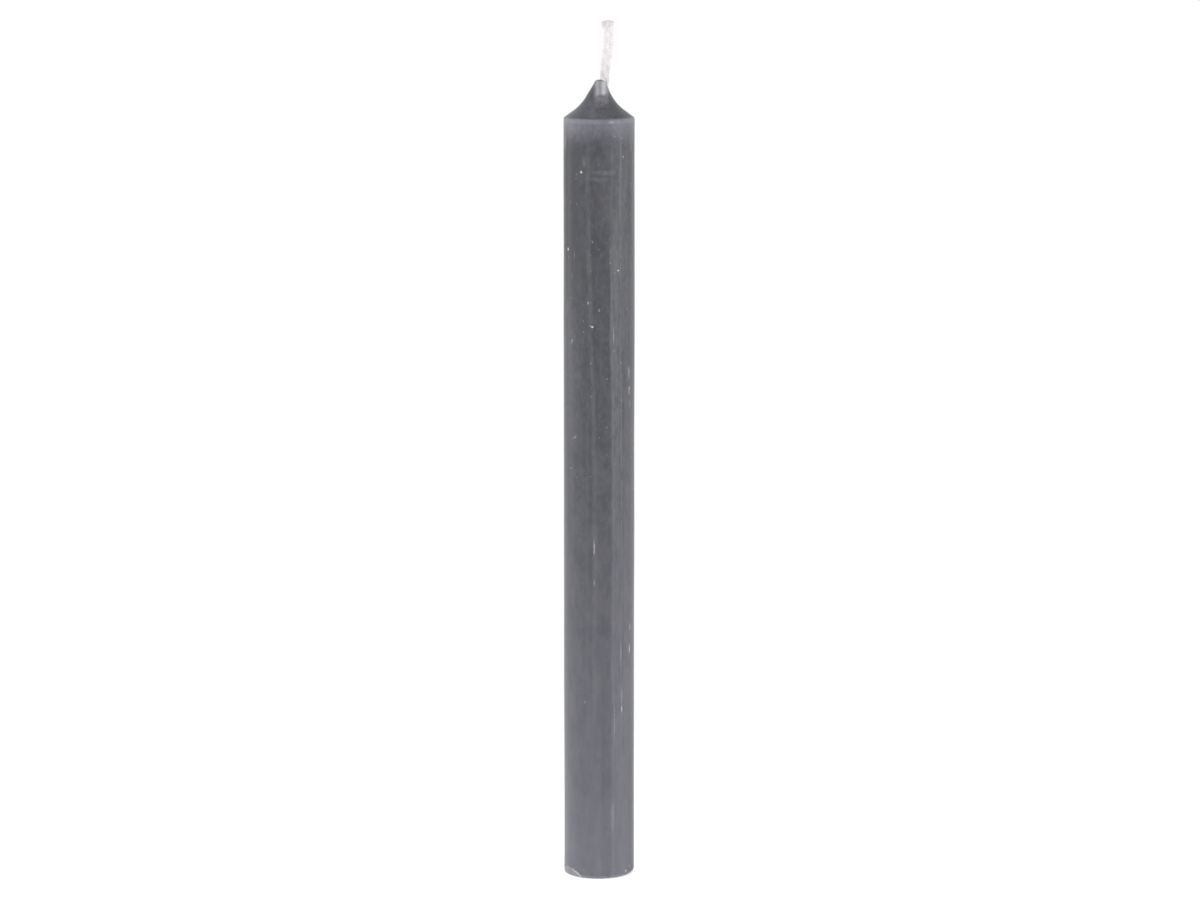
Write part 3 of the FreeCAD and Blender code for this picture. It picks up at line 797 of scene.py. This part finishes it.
def make_wick(material):
    """The plait from inside the tip up, on the solid wick's own lower part, which the wax hides."""
    chance = random.Random(7)
    places = resample(wick_line(), PLAIT_START, YARN_STEP)
    curve = bpy.data.curves.new("yarns", "CURVE")
    curve.dimensions = "3D"
    curve.bevel_depth = 1.0
    curve.bevel_resolution = 2
    curve.use_fill_caps = True
    make_core(curve, places)
    paths = make_yarns(curve, places, chance)
    make_tuft(curve, paths, places[-1][0], chance)
    make_fuzz(curve, paths, chance)
    holder = bpy.data.objects.new("yarns", curve)
    yarns = bpy.data.meshes.new_from_object(holder)
    bpy.data.objects.remove(holder)
    bpy.data.curves.remove(curve)

    bm = bmesh.new()
    bm.from_mesh(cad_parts["wick"].data)
    bmesh.ops.scale(bm, vec=(1 / MM, 1 / MM, 1 / MM), verts=bm.verts)
    bmesh.ops.remove_doubles(bm, verts=bm.verts, dist=1e-4)
    geom = bm.verts[:] + bm.edges[:] + bm.faces[:]
    cut = bmesh.ops.bisect_plane(bm, geom=geom, plane_co=(0, 0, PLAIT_START + 2.0), plane_no=(0, 0, 1),
                                 clear_outer=True)
    rim = [item for item in cut["geom_cut"] if isinstance(item, bmesh.types.BMEdge)]
    bmesh.ops.holes_fill(bm, edges=rim)
    bm.from_mesh(yarns)
    bpy.data.meshes.remove(yarns)
    return finish_piece("braided_wick", bm, material)


# Studio
def make_floor():
    """A white sweep. The camera sees it as pure white from 25 cm out, and close by it keeps the shadow."""
    material, tree, output = new_material("white_paper")
    place = add(tree, "ShaderNodeTexCoord").outputs["Object"]
    away = add(tree, "ShaderNodeVectorMath", {"operation": "LENGTH"}, {0: place}).outputs[1]
    path = add(tree, "ShaderNodeLightPath")
    seen = maths(tree, "MAXIMUM", path.outputs["Is Camera Ray"], path.outputs["Is Glossy Ray"])
    seen = maths(tree, "MAXIMUM", seen, path.outputs["Is Transmission Ray"])
    paper = add(tree, "ShaderNodeBsdfDiffuse", None, {"Color": to_linear("#f4f4f4")})
    lifted = maths(tree, "MULTIPLY", seen, 0.4)
    lift = add(tree, "ShaderNodeEmission", None, {"Color": (1, 1, 1, 1), "Strength": lifted})
    near = add(tree, "ShaderNodeAddShader", None, {0: paper.outputs[0], 1: lift.outputs[0]})
    white = add(tree, "ShaderNodeEmission", None, {"Color": (1, 1, 1, 1), "Strength": 1.0})
    far = maths(tree, "MULTIPLY", fade(tree, away, 0.06, 0.25), seen)
    mixed = add(tree, "ShaderNodeMixShader", None, {0: far, 1: near.outputs[0], 2: white.outputs[0]})
    tree.links.new(mixed.outputs[0], output.inputs["Surface"])

    bm = bmesh.new()
    bmesh.ops.create_circle(bm, cap_ends=True, segments=64, radius=6.0)
    mesh = bpy.data.meshes.new("floor")
    bm.to_mesh(mesh)
    bm.free()
    mesh.materials.append(material)
    floor = bpy.data.objects.new("floor", mesh)
    bpy.context.scene.collection.objects.link(floor)


def make_world():
    """White surroundings. The wax's gloss shows them dimmer on the camera's side, as in the photograph."""
    world = bpy.data.worlds.new("white_studio")
    bpy.context.scene.world = world
    world.use_nodes = True
    tree = world.node_tree
    tree.nodes.clear()
    path = add(tree, "ShaderNodeLightPath")
    direction = add(tree, "ShaderNodeTexCoord").outputs["Generated"]
    depth = add(tree, "ShaderNodeSeparateXYZ", None, {0: direction}).outputs["Y"]
    dim_front = fade(tree, depth, -0.8, 0.0, 0.35, 0.9)
    glossy = maths(tree, "MAXIMUM", path.outputs["Is Glossy Ray"], path.outputs["Is Transmission Ray"])
    reflected = maths(tree, "MULTIPLY", glossy, dim_front)
    shown = maths(tree, "MAXIMUM", path.outputs["Is Camera Ray"], reflected)
    strength = maths(tree, "MAXIMUM", shown, 0.84)
    background = add(tree, "ShaderNodeBackground", None, {"Color": (1, 1, 1, 1), "Strength": strength})
    output = add(tree, "ShaderNodeOutputWorld")
    tree.links.new(background.outputs[0], output.inputs["Surface"])


def make_softbox(name, azimuth, distance, height, size, power):
    """A tall rectangular light, aimed at the candle. Azimuth counts from the camera's side, positive to the
    right."""
    lamp = bpy.data.lights.new(name, "AREA")
    lamp.shape = "RECTANGLE"
    lamp.size, lamp.size_y = size
    lamp.energy = power
    angle = math.radians(azimuth)
    place = Vector((distance * math.sin(angle), -distance * math.cos(angle), height))
    target = Vector((0, 0, 0.12))
    softbox = bpy.data.objects.new(name, lamp)
    softbox.location = place
    softbox.rotation_euler = (target - place).to_track_quat("-Z", "Y").to_euler()
    bpy.context.scene.collection.objects.link(softbox)


def make_camera():
    """The photograph's view: from 1.4 m, 9 degrees above level, the candle nearly as tall as the frame."""
    distance = 1.4
    elevation = math.radians(9.0)
    target = Vector((0.27, 0, 134.65)) * MM
    camera = bpy.data.cameras.new("camera")
    camera.sensor_width = 36.0
    camera.lens = 134.76
    holder = bpy.data.objects.new("camera", camera)
    holder.location = target + Vector((0, -math.cos(elevation), math.sin(elevation))) * distance
    holder.rotation_euler = (math.pi / 2 - elevation, 0, 0)
    bpy.context.scene.collection.objects.link(holder)
    bpy.context.scene.camera = holder


stick = make_stick(make_wax())
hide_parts("wax_body")
wick = make_wick(make_cotton())
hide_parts("wick")

make_floor()
make_world()
make_softbox("right_softbox", azimuth=61.0, distance=0.9, height=0.10, size=(0.7, 1.2), power=4.7)
make_softbox("left_softbox", azimuth=-86.0, distance=0.9, height=0.10, size=(1.2, 1.2), power=6.0)
make_camera()
bpy.context.scene.view_settings.view_transform = "Standard"
